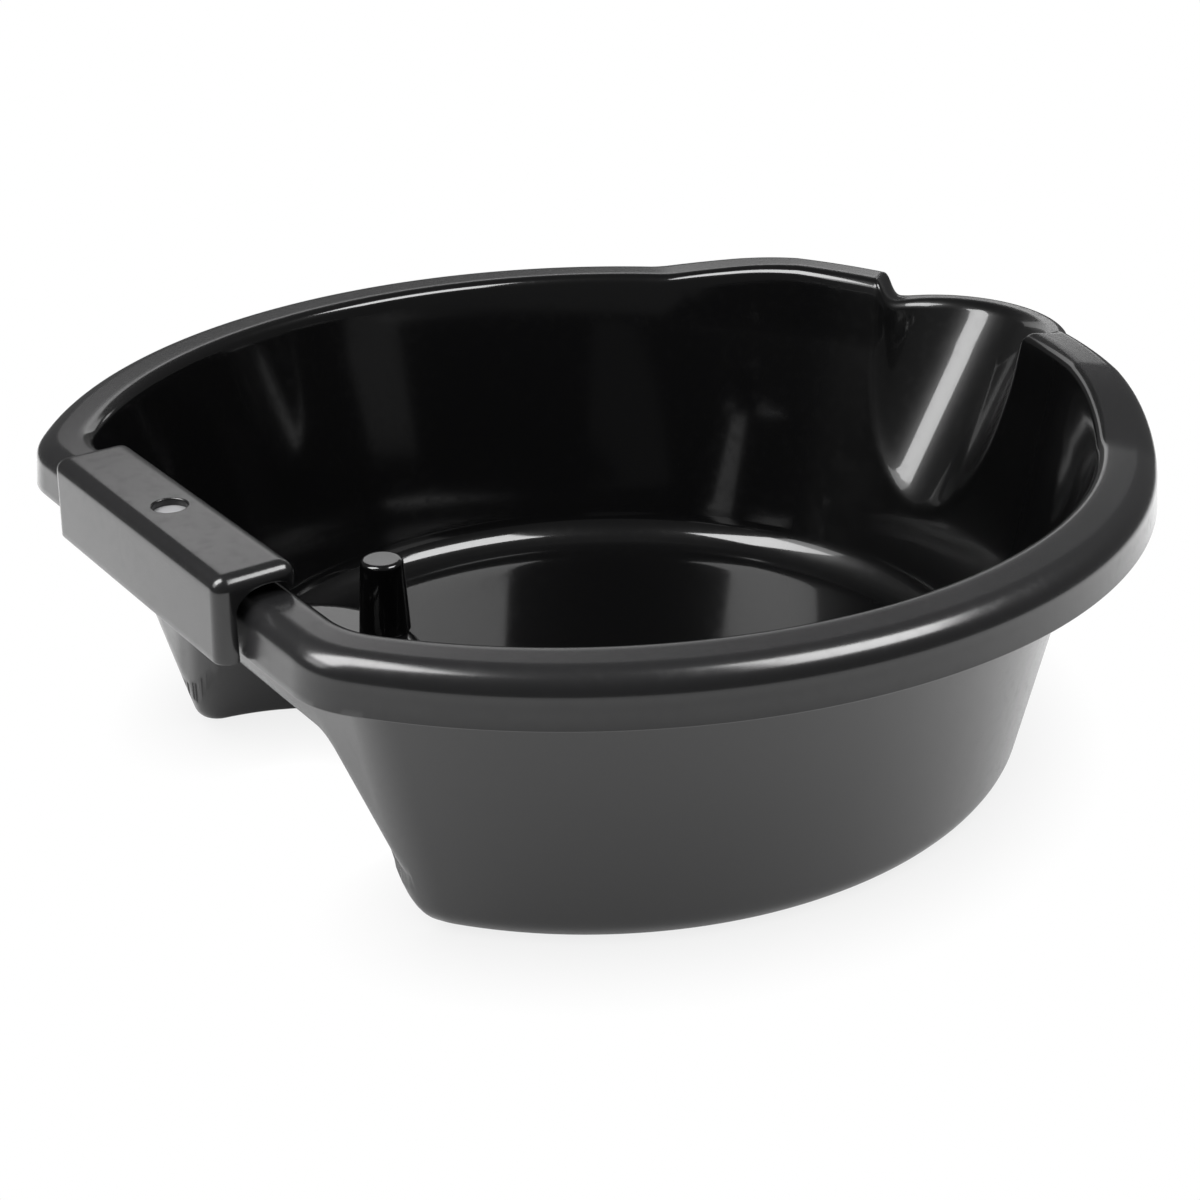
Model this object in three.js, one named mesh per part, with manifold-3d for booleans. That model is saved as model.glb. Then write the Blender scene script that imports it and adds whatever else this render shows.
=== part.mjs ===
// Oil drain pan: an oval moulded basin with a rolled rim, a pouring spout at +X,
// and at -X a straight grip with a clip-on cover over a magnet, plus a stand-up drip post.
// Millimetres, +Z up; the origin is the middle of the flat underside.
import * as THREE from "three";
import { mergeVertices } from "three/addons/utils/BufferGeometryUtils.js";
import Module from "manifold-3d";

const manifold = await Module();
manifold.setup();

// Heights above the ground.
const RIM_TOP = 119;
const WALL = 3;
const FLOOR_Z = WALL;
const RIM_WALL = 2.6;
const SKIRT_DROP = 16.6;

// Outline of the rim, seen from above: an oval cut straight along the grip.
const RIM = { a: 200, b: 190.6, centre: 0, cut: 171.2 };
const RIM_INSIDE = { a: 182.4, b: 170.4, centre: 0.6, cut: 153.6 };
const CORNER_BLEND = 6;

// Outline of the basin's outer face just below the rim, and where it would meet the ground.
const BASIN_TOP = { a: 181.5, b: 170, centre: 0, cut: 154.2 };
const BASIN_FOOT = { a: 156, b: 149, centre: 4.3, cut: 127.4 };
const BASIN_TOP_Z = RIM_TOP - 8;
const FOOT_ROUND = 11;
const FLOOR_ROUND = 15;

// Raised ears of the rim on both sides of the spout.
const EAR_HEIGHT = 8.5;
const EAR_START = THREE.MathUtils.degToRad(47);
const EAR_FULL = THREE.MathUtils.degToRad(29);

// Spout: a half-round gutter that leans outward from its tip low in the wall to its lip.
const SPOUT_CENTRE = 176.7;
const SPOUT_RADIUS = 35;
const SPOUT_TIP_Z = 40;
const SPOUT_TIP_X = 163;
const SPOUT_BLEND = 9;
const SPOUT_LIP_Z = RIM_TOP - 1.6;
const LIP_WIDTH = 12.5;
const LIP_SKIRT = 8;
const LIP_BLEND = 4;
const GUTTER_MARGIN = 5;

// Half the width of the stations that cover the grip side.
const GRIP_SPAN = 82;

// Hand recess under the grip; its roof is a platform inside the basin.
const PLATFORM_Z = 63;
const RECESS_TOP = { radius: 41, x: -125.5 };
const RECESS_FOOT = { radius: 80, x: -132 };
const PLATFORM_ROUND = 3;
// Rounded upright edges where the recess opens through the basin's wall.
const RECESS_FLARE = 17;
const RECESS_FOOT_ROUND = 4;
const RECESS_STEPS = 24;

// Drip post on the platform.
const POST_X = -90.2;
const POST_HEIGHT = 26;
const POST_FOOT_RADIUS = 8.9;
const POST_TOP_RADIUS = 7.4;
const STUD_RADIUS = 3.6;
const STUD_HEIGHT = 8;
const FIT_GAP = 0.15;

// Clip-on grip cover and the magnet under its hole.
const COVER_LENGTH = 118.5;
const COVER_TOP_Z = RIM_TOP + 8.5;
const COVER_WALL = 2.4;
const COVER_OUT_X = -178.6;
const COVER_IN_X = -151.1;
const COVER_LOW_Z = RIM_TOP - 18.5;
const COVER_HOOK_Z = RIM_TOP + 0.6;
const COVER_ROUND = 4.5;
const COVER_LEAN = 1;
const ARCH_LEFT_X = -171.9;
const ARCH_RIGHT_X = -154.2;
const ARCH_SPRING_Z = RIM_TOP - 4;
const ARCH_TOP_Z = RIM_TOP + 3.7;
const HOLE_X = -163.6;
const HOLE_RADIUS = 5.5;
const MAGNET_RADIUS = 7.8;
const MAGNET_THICK = 6;

const { cos, sin, sqrt, abs, max, min, asin, PI } = Math;
const mix = (p, q, t) => p + (q - p) * t;

function smoothStep(from, to, v) {
  const t = min(max((v - from) / (to - from), 0), 1);
  return t * t * (3 - 2 * t);
}

function smoothMax(p, q, blend) {
  const near = max(blend - abs(p - q), 0) / blend;
  return max(p, q) + (near * near * blend) / 4;
}

// ---- rings -------------------------------------------------------------

// Stations round the basin, counted from the middle of the spout: an arc of spout
// stations, an arc of side stations, and an arc of grip stations, then mirrored.
const SPOUT_STEPS = 11;
const SIDE_STEPS = 34;
const GRIP_STEPS = 10;

// One station: part names its arc, u runs 0..1 along it, side is +1 or -1.
function stations() {
  const half = [];
  for (let i = 0; i <= SPOUT_STEPS; i++) half.push({ part: "spout", u: i / SPOUT_STEPS });
  for (let i = 1; i < SIDE_STEPS; i++) half.push({ part: "side", u: i / SIDE_STEPS });
  for (let i = 0; i <= GRIP_STEPS; i++) half.push({ part: "grip", u: 1 - i / GRIP_STEPS });
  const left = half.map((s) => ({ ...s, side: 1 }));
  const right = half.slice(1, -1).reverse().map((s) => ({ ...s, side: -1 }));
  return [...left, ...right];
}
const STATIONS = stations();

// Plan position of a station on an oval that is cut straight on the grip side.
function onOutline(oval, station, spoutHalf = SPOUT_RADIUS) {
  const spoutAngle = asin(spoutHalf / oval.b);
  const gripAngle = PI - asin(GRIP_SPAN / oval.b);
  let angle = mix(spoutAngle, gripAngle, station.u);
  if (station.part === "spout") angle = asin((spoutHalf * sin((station.u * PI) / 2)) / oval.b);
  if (station.part === "grip") angle = mix(PI, gripAngle, station.u);
  const x = smoothMax(oval.centre + oval.a * cos(angle), -oval.cut, CORNER_BLEND);
  return { x, y: station.side * oval.b * sin(angle), angle };
}

// The oval of the basin wall at a height, moved inward by inset.
function basinOval(z, inset) {
  const t = (BASIN_TOP_Z - z) / BASIN_TOP_Z;
  return {
    a: mix(BASIN_TOP.a, BASIN_FOOT.a, t) - inset,
    b: mix(BASIN_TOP.b, BASIN_FOOT.b, t) - inset,
    centre: mix(BASIN_TOP.centre, BASIN_FOOT.centre, t),
    cut: mix(BASIN_TOP.cut, BASIN_FOOT.cut, t) - inset,
  };
}

// Front of the spout's gutter: a round channel of one radius that leans outward.
function gutterX(y, z, grow) {
  const radius = SPOUT_RADIUS + grow;
  const rise = (z - SPOUT_TIP_Z) / (SPOUT_LIP_Z - SPOUT_TIP_Z);
  const centre = mix(SPOUT_TIP_X - SPOUT_RADIUS, SPOUT_CENTRE, rise);
  return centre + sqrt(max(radius * radius - y * y, 0));
}

// A ring of the basin wall at height z; ovalZ is the height whose oval it follows.
function wallRing(z, inset, ovalZ = z) {
  const oval = basinOval(ovalZ, inset);
  return STATIONS.map((s) => {
    const p = onOutline(oval, s, SPOUT_RADIUS + GUTTER_MARGIN);
    const gutter = gutterX(p.y, z, WALL - inset);
    const x = s.part === "spout" ? smoothMax(p.x, gutter, SPOUT_BLEND) : p.x;
    return [x, p.y, z];
  });
}

// Height of the rim's top at a station: raised at the ears, a little low at the lip.
function rimLift(station, angle) {
  if (station.part === "spout") return SPOUT_LIP_Z - RIM_TOP;
  if (station.part === "grip") return 0;
  return EAR_HEIGHT * (1 - smoothStep(EAR_FULL, EAR_START, angle));
}

// A ring of the rim: t runs from its outer edge 0 to its inner edge 1, drop is measured
// down from the top. The skirt's lower edge stays level where the top is raised.
function rimRing(t, drop) {
  const oval = {};
  for (const key of ["a", "b", "centre", "cut"]) oval[key] = mix(RIM[key], RIM_INSIDE[key], t);
  const lipRadius = SPOUT_RADIUS + LIP_WIDTH * (1 - t);
  return STATIONS.map((s) => {
    const p = onOutline(oval, s, lipRadius);
    const low = drop / SKIRT_DROP;
    const z = RIM_TOP + rimLift(s, p.angle) * (1 - low) - drop;
    if (s.part !== "spout") return [p.x, p.y, z];
    const lip = SPOUT_CENTRE + sqrt(max(lipRadius * lipRadius - p.y * p.y, 0));
    return [smoothMax(p.x, lip, LIP_BLEND), p.y, SPOUT_LIP_Z - low * LIP_SKIRT];
  });
}

// ---- solids ------------------------------------------------------------

// A closed skin over rings that all share the same stations, with a point at each end.
function loft(start, rings, end) {
  const count = rings[0].length;
  const positions = [start, ...rings.flat(), end].flat();
  const last = 1 + rings.length * count;
  const faces = [];
  for (let i = 0; i < count; i++) {
    const j = (i + 1) % count;
    faces.push(0, 1 + j, 1 + i);
    for (let r = 0; r + 1 < rings.length; r++) {
      const low = 1 + r * count;
      const high = low + count;
      faces.push(low + i, low + j, high + j, low + i, high + j, high + i);
    }
    faces.push(last - count + i, last - count + j, last);
  }
  const geometry = new THREE.BufferGeometry();
  geometry.setAttribute("position", new THREE.Float32BufferAttribute(positions, 3));
  geometry.setIndex(faces);
  return geometry;
}

function toSolid(geometry) {
  const bare = geometry.clone();
  bare.deleteAttribute("normal");
  bare.deleteAttribute("uv");
  const merged = mergeVertices(bare, 1e-3);
  const mesh = new manifold.Mesh({
    numProp: 3,
    vertProperties: new Float32Array(merged.attributes.position.array),
    triVerts: new Uint32Array(merged.index.array),
  });
  const solid = new manifold.Manifold(mesh);
  if (solid.volume() < 0) throw new Error("a solid is inside out");
  return solid;
}

function toMesh(solid, name, color) {
  const { vertProperties, triVerts } = solid.getMesh();
  const geometry = new THREE.BufferGeometry();
  geometry.setAttribute("position", new THREE.Float32BufferAttribute(vertProperties, 3));
  geometry.setIndex(Array.from(triVerts));
  geometry.computeVertexNormals();
  const material = new THREE.MeshStandardMaterial({ color, roughness: 0.35, flatShading: true });
  material.name = name;
  const mesh = new THREE.Mesh(geometry, material);
  mesh.name = name;
  return mesh;
}

// Rings of a face parallel to the basin's outside, depth inside it: the rounded foot only.
function footRings(depth) {
  const round = FOOT_ROUND - depth;
  return [90, 60, 30, 0].map((degrees) => {
    const turn = THREE.MathUtils.degToRad(degrees);
    return wallRing(FOOT_ROUND - round * sin(turn), depth + round * (1 - cos(turn)), FOOT_ROUND);
  });
}

// Rings from the middle of the underside, out and up the outer face to below the rim.
function outerRings() {
  const rings = footRings(0);
  for (const z of [28, 40, 52, 64, 76, 88, 100, BASIN_TOP_Z]) rings.push(wallRing(z, 0));
  return rings;
}

// Rings of the rim's underside, from the wall out to the inside of the skirt.
const RIM_UNDERSIDE = [[0.94, 3.4], [0.6, 2.7], [0.46, 3.1], [0.3, 4.9], [0.2, 8.4], [0.15, SKIRT_DROP]];

// Rings of the rim's visible side: skirt, round edge, flat top, and the turn into the basin.
const EDGE_ROUND = 7.3;
const EDGE_SHARE = 0.42;
const SKIRT_LEAN = 0.055;
function rimRings() {
  const section = [...RIM_UNDERSIDE, [0, SKIRT_DROP]];
  for (const degrees of [0, 20, 40, 60, 90]) {
    const turn = THREE.MathUtils.degToRad(degrees);
    section.push([SKIRT_LEAN + EDGE_SHARE * (1 - cos(turn)), EDGE_ROUND * (1 - sin(turn))]);
  }
  section.push([0.92, 0], [1.0, 0.5], [1.07, 1.9], [1.14, 4.6]);
  return section.map(([t, drop]) => rimRing(t, drop));
}

// Rings down the inside of the basin to the edge of the flat floor.
function innerRings() {
  const rings = [];
  for (const z of [BASIN_TOP_Z - 3, 100, 88, 76, 64, 52, 40, 28]) rings.push(wallRing(z, WALL));
  const centre = FLOOR_Z + FLOOR_ROUND;
  for (const degrees of [0, 22.5, 45, 67.5, 90]) {
    const turn = THREE.MathUtils.degToRad(degrees);
    const inset = WALL + FLOOR_ROUND * (1 - cos(turn));
    rings.push(wallRing(centre - FLOOR_ROUND * sin(turn), inset, centre));
  }
  return rings;
}

// Heights of the recess block's slices, each with how far its side stands out there:
// a rounded foot below, and a rounded top edge where round is above 0.
function recessSlices(grow, top, round) {
  const foot = RECESS_FOOT_ROUND - grow;
  const slices = [{ z: RECESS_FOOT_ROUND - foot - WALL / 2, out: foot }];
  for (const degrees of [90, 60, 30, 0]) {
    const turn = THREE.MathUtils.degToRad(degrees);
    slices.push({ z: RECESS_FOOT_ROUND - foot * sin(turn), out: foot * (1 - cos(turn)) });
  }
  slices.push({ z: FOOT_ROUND, out: 0 });
  for (const degrees of round > 0 ? [0, 30, 60, 90] : [90]) {
    const turn = THREE.MathUtils.degToRad(degrees);
    slices.push({ z: top - round * (1 - sin(turn)), out: -round * (1 - cos(turn)) });
  }
  return slices;
}

// One slice of the recess block: a half circle that bends outward at the basin's wall.
function recessRing(grow, slice) {
  const t = slice.z / (PLATFORM_Z - WALL);
  const radius = mix(RECESS_FOOT.radius, RECESS_TOP.radius, t) + slice.out;
  const x = mix(RECESS_FOOT.x, RECESS_TOP.x, t);
  const ring = [];
  for (let i = 0; i <= RECESS_STEPS; i++) {
    const turn = PI * (i / RECESS_STEPS - 1 / 2);
    ring.push([x + (radius + grow) * cos(turn), (radius + grow) * sin(turn), slice.z]);
  }
  const rise = min(max(FOOT_ROUND - slice.z, 0), FOOT_ROUND);
  const footInset = FOOT_ROUND - sqrt(FOOT_ROUND * FOOT_ROUND - rise * rise);
  const mouth = footInset - basinOval(slice.z, 0).cut;
  const bend = RECESS_FLARE - grow;
  const side = [20, 45, 70, 90].map((degrees) => {
    const turn = THREE.MathUtils.degToRad(degrees);
    return [mouth + RECESS_FLARE - bend * sin(turn), radius + RECESS_FLARE - bend * cos(turn)];
  });
  side.push([mouth - 2 * RECESS_FLARE, radius + RECESS_FLARE]);
  for (const [px, py] of side) ring.push([px, py, slice.z]);
  for (const [px, py] of side.reverse()) ring.push([px, -py, slice.z]);
  return ring;
}

// The half-round block of the hand recess: grow moves its sides outward.
function recessBlock(grow, top, round) {
  const rings = recessSlices(grow, top, round).map((slice) => recessRing(grow, slice));
  const middle = -basinOval(0, 0).cut;
  return toSolid(loft([middle, 0, rings[0][0][2]], rings, [middle, 0, top]));
}

// The filled body of the basin, half a wall thickness in, to trim the recess shell.
function basinCore() {
  const rings = [...footRings(WALL / 2), ...[40, 95].map((z) => wallRing(z, WALL / 2))];
  return toSolid(loft([0, 0, WALL / 2], rings, [0, 0, 95]));
}

function coneSolid(low, high, x, y, z, height, steps = 32) {
  const ring = (radius, level) => {
    const points = [];
    for (let i = 0; i < steps; i++) {
      const turn = (2 * PI * i) / steps;
      points.push([x + radius * cos(turn), y + radius * sin(turn), level]);
    }
    return points;
  };
  const rings = [ring(low, z), ring(high, z + height)];
  return toSolid(loft([x, y, z], rings, [x, y, z + height]));
}

function panBody() {
  const rings = [...outerRings(), ...rimRings(), ...innerRings()];
  const shell = toSolid(loft([0, 0, 0], rings, [10, 0, FLOOR_Z]));
  const recess = recessBlock(0, PLATFORM_Z - WALL, 0);
  const cover = recessBlock(WALL, PLATFORM_Z, PLATFORM_ROUND);
  const stud = coneSolid(STUD_RADIUS, STUD_RADIUS, POST_X, 0, PLATFORM_Z - 1, STUD_HEIGHT + 1);
  const roof = cover.intersect(basinCore()).subtract(recess);
  return toMesh(shell.subtract(recess).add(roof).add(stud), "pan_body", 0x17181a);
}

function dripPost() {
  const profile = [
    [0, STUD_HEIGHT + FIT_GAP], [STUD_RADIUS + FIT_GAP, STUD_HEIGHT + FIT_GAP],
    [STUD_RADIUS + FIT_GAP, 0], [POST_FOOT_RADIUS, 0],
    [POST_TOP_RADIUS, POST_HEIGHT - 1.6], [POST_TOP_RADIUS - 0.5, POST_HEIGHT - 0.5],
    [POST_TOP_RADIUS - 1.6, POST_HEIGHT], [0, POST_HEIGHT],
  ];
  const turned = new THREE.LatheGeometry(profile.map(([r, z]) => new THREE.Vector2(r, z)), 40);
  turned.rotateX(PI / 2);
  turned.translate(POST_X, 0, PLATFORM_Z);
  return toMesh(toSolid(turned), "drip_post", 0x1c1d1f);
}

function plugMagnet() {
  const disc = coneSolid(MAGNET_RADIUS, MAGNET_RADIUS, HOLE_X, 0, RIM_TOP + 0.05, MAGNET_THICK);
  return toMesh(disc, "plug_magnet", 0x8d9094);
}

// One cross-section of the cover's outside, moved inward by inset, at a place along Y.
function coverRing(y, inset) {
  const round = COVER_ROUND - inset;
  const left = COVER_OUT_X + COVER_LEAN + COVER_ROUND;
  const right = COVER_IN_X - COVER_ROUND;
  const level = COVER_TOP_Z - COVER_ROUND;
  const ring = [[COVER_IN_X - inset, y, COVER_LOW_Z]];
  for (let i = 0; i <= 4; i++) {
    const turn = (i * PI) / 8;
    ring.push([right + round * cos(turn), y, level + round * sin(turn)]);
  }
  for (let i = 4; i <= 8; i++) {
    const turn = (i * PI) / 8;
    ring.push([left + round * cos(turn), y, level + round * sin(turn)]);
  }
  ring.push([COVER_OUT_X + inset, y, COVER_LOW_Z]);
  return ring;
}

// The outside of the cover as a solid bar with rounded ends.
function coverBar() {
  const rings = [];
  const half = COVER_LENGTH / 2;
  for (const degrees of [78, 50, 25, 0]) {
    const turn = THREE.MathUtils.degToRad(degrees);
    rings.push(coverRing(-half + COVER_ROUND * (1 - sin(turn)), COVER_ROUND * (1 - cos(turn))));
  }
  const mirrored = rings.map((ring) => ring.map(([x, y, z]) => [x, -y, z]));
  const all = [...mirrored, ...rings.reverse()];
  const middle = (ring) => [HOLE_X, ring[0][1], RIM_TOP];
  return toSolid(loft(middle(all[0]), all, middle(all[all.length - 1])));
}

function extrudeAlongY(shape, length) {
  const block = new THREE.ExtrudeGeometry(shape, { depth: length, bevelEnabled: false, curveSegments: 8 });
  block.rotateX(PI / 2);
  block.translate(0, length / 2, 0);
  return toSolid(block);
}

// The arched tunnel through which the rim passes.
function archTunnel() {
  const below = COVER_LOW_Z - 5;
  const shape = new THREE.Shape();
  shape.moveTo(ARCH_LEFT_X, below);
  shape.lineTo(ARCH_LEFT_X, ARCH_SPRING_Z);
  shape.quadraticCurveTo(ARCH_LEFT_X, ARCH_TOP_Z, HOLE_X + 3, ARCH_TOP_Z);
  shape.quadraticCurveTo(ARCH_RIGHT_X - 2, ARCH_TOP_Z, ARCH_RIGHT_X, COVER_HOOK_Z);
  shape.lineTo(COVER_IN_X + 5, COVER_HOOK_Z);
  shape.lineTo(COVER_IN_X + 5, below);
  return extrudeAlongY(shape, COVER_LENGTH + 10);
}

// The hollow between the cover's two end walls.
function coverHollow() {
  const below = COVER_LOW_Z - 5;
  const roof = COVER_TOP_Z - COVER_WALL;
  const shape = new THREE.Shape();
  shape.moveTo(COVER_OUT_X + COVER_WALL, below);
  shape.lineTo(COVER_OUT_X + COVER_WALL + COVER_LEAN, roof - 2);
  shape.lineTo(COVER_OUT_X + COVER_WALL + COVER_LEAN + 2, roof);
  shape.lineTo(COVER_IN_X - COVER_WALL - 2, roof);
  shape.lineTo(COVER_IN_X - COVER_WALL, roof - 2);
  shape.lineTo(COVER_IN_X - COVER_WALL, below);
  return extrudeAlongY(shape, COVER_LENGTH - 2 * COVER_WALL);
}

function gripCover() {
  const hole = coneSolid(HOLE_RADIUS, HOLE_RADIUS, HOLE_X, 0, RIM_TOP, 15, 28);
  const shell = coverBar().subtract(archTunnel()).subtract(coverHollow());
  return toMesh(shell.subtract(hole), "grip_cover", 0x1a1b1d);
}

const pan = new THREE.Group();
pan.name = "oil_drain_pan";
pan.add(panBody(), gripCover(), plugMagnet(), dripPost());

export default pan;
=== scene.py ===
"""Oil drain pan: the looks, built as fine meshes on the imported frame.

Lengths are millimetres in the part's frame, +Z up, until a mesh is made. The grip is at -X and the spout at
+X. The stage, the camera and the lights at the end are in metres.
"""

import math

import bmesh
import bpy
import numpy as np
from mathutils import Matrix, Vector

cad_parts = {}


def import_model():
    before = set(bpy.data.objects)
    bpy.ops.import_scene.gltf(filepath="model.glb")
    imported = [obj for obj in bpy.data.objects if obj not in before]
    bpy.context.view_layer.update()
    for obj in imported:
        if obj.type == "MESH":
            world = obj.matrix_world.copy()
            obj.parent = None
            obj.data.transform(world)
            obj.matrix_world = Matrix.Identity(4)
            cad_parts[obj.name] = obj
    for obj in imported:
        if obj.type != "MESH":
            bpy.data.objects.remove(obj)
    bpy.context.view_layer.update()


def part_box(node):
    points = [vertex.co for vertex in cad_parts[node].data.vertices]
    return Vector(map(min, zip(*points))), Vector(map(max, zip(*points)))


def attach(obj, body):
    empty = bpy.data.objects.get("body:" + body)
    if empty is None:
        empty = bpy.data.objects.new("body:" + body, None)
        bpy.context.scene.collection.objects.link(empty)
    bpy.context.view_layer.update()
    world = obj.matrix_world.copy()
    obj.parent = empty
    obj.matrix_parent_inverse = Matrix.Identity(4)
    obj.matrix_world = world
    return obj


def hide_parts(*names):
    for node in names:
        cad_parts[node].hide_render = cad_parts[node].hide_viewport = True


MM = 0.001

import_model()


def box_mm(node):
    """Lowest and highest corner of a CAD node in millimetres."""
    return [np.array(corner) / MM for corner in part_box(node)]


PAN_LOW, PAN_HIGH = box_mm("pan_body")
COVER_LOW, COVER_HIGH = box_mm("grip_cover")
POST_LOW, POST_HIGH = box_mm("drip_post")
DISC_LOW, DISC_HIGH = box_mm("plug_magnet")

# ---- sizes of the pan body --------------------------------------------------------

# Heights above the ground, and thicknesses.
EAR_HEIGHT = 8.5
RIM_TOP = PAN_HIGH[2] - EAR_HEIGHT
WALL = 3.0
SKIRT_DROP = 16.6
SKIRT_EDGE = 0.5

# Ovals seen from above: half length along X, half width along Y, centre, and the straight cut at the grip.
RIM = np.array([200.0, 190.6, 0.0, -PAN_LOW[0]])
RIM_INSIDE = RIM - np.array([17.6, 20.2, -0.6, 17.6])
BASIN_TOP = np.array([181.5, 170.0, 0.0, 154.2])
BASIN_FOOT = np.array([156.0, 149.0, 4.3, 127.4])
BASIN_TOP_Z = RIM_TOP - 8.0
OUTWARD = np.array([1.0, 1.0, 0.0, 1.0])  # how an oval's four values change when it grows
CORNER_BLEND = 6.0

# Roundings at the foot of the basin's outside and inside. Their arcs, in degrees, stop short of upright.
FOOT_ROUND = 11.0
FLOOR_ROUND = 15.0
FOOT_ARC = (90, 8)
STRAIGHT_START = 0.87  # share of the rounding at which the straight wall's rings start
FLOOR_MIDDLE_X = 10.0

# Raised ears of the rim: where their ramps start and reach full height, and how those bends are rounded.
EAR_START = math.radians(47)
EAR_FULL = math.radians(31)
EAR_KINK = 0.08
EAR_CREST = 0.45

# Spout: a half-round gutter that leans outward, ending in a lip.
SPOUT_CENTRE = 176.7
SPOUT_RADIUS = 35.0
SPOUT_TIP_Z = 38.5
SPOUT_TIP_X = 163.0
SPOUT_BLEND = (0.8, 7.0)
LIP_Z = RIM_TOP - 0.8
LIP_WIDTH = 12.5
LIP_SKIRT = 8.0
LIP_BLEND = 5.0
LIP_STEP = (1.2, 4.4)
STEP_ROUND = 0.7

# Rim cross-section: places across it run from 0 at the outer to 1 at the inner edge, drops from its top.
EDGE_ROUND = 7.3
EDGE_SHARE = 0.42
EDGE_ARC = (0, 86)
SKIRT_LEAN = 0.055
INNER_ROUND = 3.5
RIM_UNDERSIDE = ((0.94, 3.4), (0.6, 2.7), (0.42, 3.3), (0.3, 5.0), (0.2, 8.8), (0.15, SKIRT_DROP))
SKIRT_FOOT = (
    (0.15, SKIRT_DROP - SKIRT_EDGE),
    (0.14, SKIRT_DROP),
    (0.03, SKIRT_DROP),
    (0.008, SKIRT_DROP - 0.2),
    (0.0, SKIRT_DROP - SKIRT_EDGE),
)
FLAT_SHARES = (0, 0.03, 0.2, 0.4, 0.6, 0.8)  # of the way from the rounded edge's end to the inner edge

# Hand recess under the grip, and the platform that its roof makes inside the basin. The recess is a leaning
# half-round block, given by its radius and centre at the roof and at the ground.
PLATFORM_Z = POST_LOW[2]
RECESS_ROOF = PLATFORM_Z - WALL
RECESS_TOP = (41.0, -125.5)
RECESS_FOOT = (80.0, -132.0)
RECESS_FLARE = 19.0
FLARE_REACH = 0.85
PLATFORM_BLEND = 6.0
COVE_BLEND = 9.0
MOUTH_BLEND = (2.0, 14.0)

# Stations round the basin, which lie close together at the spout, and rings across it.
SPOUT_STEPS, SIDE_STEPS, GRIP_STEPS = 56, 200, 44
SPOUT_MARGIN = (3, 5)  # how far the close stations reach past the lip and past the gutter
END_DENSITY = 0.7
GRIP_SPAN = 82.0
FLOOR_STEPS = 84
WALL_STEP = 2.3
RECESS_CLEAR_Z = 78.0  # the recess no longer reaches the outer wall above this
UPPER_WALL_Z = (84, 90, 97, 104, BASIN_TOP_Z)
LEVEL_Z = 100.0  # inner rings below this are level, those above rise with the ears
SEARCH_X = (50.0, 300.0)  # find_root looks for a spout's outline in this range
SEARCH_Z = (-80.0, 130.0)  # and for the recess's height in this one

# Finish of the pan body.
RIM_INSIDE_RINGS = 7  # the rim's last rings, which are as glossy as the inside
# Where the inner walls have a touch of satin, they also get that share of the lighter black that is painted
# light.
WALL_SATIN = 0.1


def mix(p, q, t):
    return p + (q - p) * t


def smooth_step(low, high, v):
    t = np.clip((v - low) / (high - low), 0, 1)
    return t * t * (3 - 2 * t)


def smooth_max(p, q, blend):
    near = np.maximum(blend - np.abs(p - q), 0) / blend
    return np.maximum(p, q) + near * near * blend / 4


def smooth_min(p, q, blend):
    return -smooth_max(-p, -q, blend)


def find_root(function, low, high, steps=36):
    """Where a rising function of an array is 0, by halving."""
    for _ in range(steps):
        middle = (low + high) / 2
        below = function(middle) < 0
        low = np.where(below, middle, low)
        high = np.where(below, high, middle)
    return (low + high) / 2


def arc_angles(start, end, count):
    """Count angles in radians, evenly from start to end degrees."""
    return [math.radians(mix(start, end, i / (count - 1))) for i in range(count)]


# ---- pan body: rings of stations ----------------------------------------------------


def stations():
    """Part (0 spout, 1 side, 2 grip), place 0..1 in it, and side of every station round the basin."""
    half = [(0, i / SPOUT_STEPS, 1) for i in range(SPOUT_STEPS + 1)]
    half += [(1, i / SIDE_STEPS, 1) for i in range(1, SIDE_STEPS)]
    half += [(2, 1 - i / GRIP_STEPS, 1) for i in range(GRIP_STEPS + 1)]
    other = [(part, u, -1) for part, u, _ in reversed(half[1:-1])]
    return [np.array(column) for column in zip(*half, *other)]


PART, U, SIDE = stations()


def outline(oval, spout_half):
    """Plan position of every station on an oval, and its angle from the spout."""
    a, b, centre, cut = oval
    grip_angle = math.pi - math.asin(GRIP_SPAN / b)
    on_spout = np.arcsin(spout_half * np.sin(U * math.pi / 2) / b)
    fine_ends = U - END_DENSITY * np.sin(2 * math.pi * U) / (2 * math.pi)
    on_side = mix(math.asin(spout_half / b), grip_angle, fine_ends)
    on_grip = mix(math.pi, grip_angle, np.sin(U * math.pi / 2))
    angle = np.choose(PART, [on_spout, on_side, on_grip])
    x = smooth_max(centre + a * np.cos(angle), -cut, CORNER_BLEND)
    return x, SIDE * b * np.sin(angle), angle


def widen(x, y, centre, radius, blend):
    """Moves an outline outward where a round channel about (centre, 0) reaches past it."""

    def outside(trial):
        channel = np.where(trial > centre, np.hypot(trial - centre, y), np.abs(y)) - radius
        return smooth_min(trial - x, channel, blend)

    near = (np.abs(y) < radius + 2 * blend) & (x > 0)
    low, high = SEARCH_X
    return np.where(near, find_root(outside, np.full_like(x, low), np.full_like(x, high)), x)


def basin_oval(z, floor, foot):
    """The wall's oval at height z with a foot of radius foot that rolls into the floor."""
    slope = (BASIN_TOP - BASIN_FOOT) / BASIN_TOP_Z
    stretch = np.sqrt(1 + slope * slope)
    centre_z = floor + foot
    centre = BASIN_FOOT + slope * centre_z - foot * stretch
    arc = centre + math.sqrt(max(foot * foot - max(centre_z - z, 0) ** 2, 0))
    line = BASIN_FOOT + slope * z
    return np.where((z < centre_z - foot * slope / stretch) & (OUTWARD > 0), arc, line)


def spout_rise(z):
    """0 at the gutter's tip, 1 at the lip."""
    return (z - SPOUT_TIP_Z) / (LIP_Z - SPOUT_TIP_Z)


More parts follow.
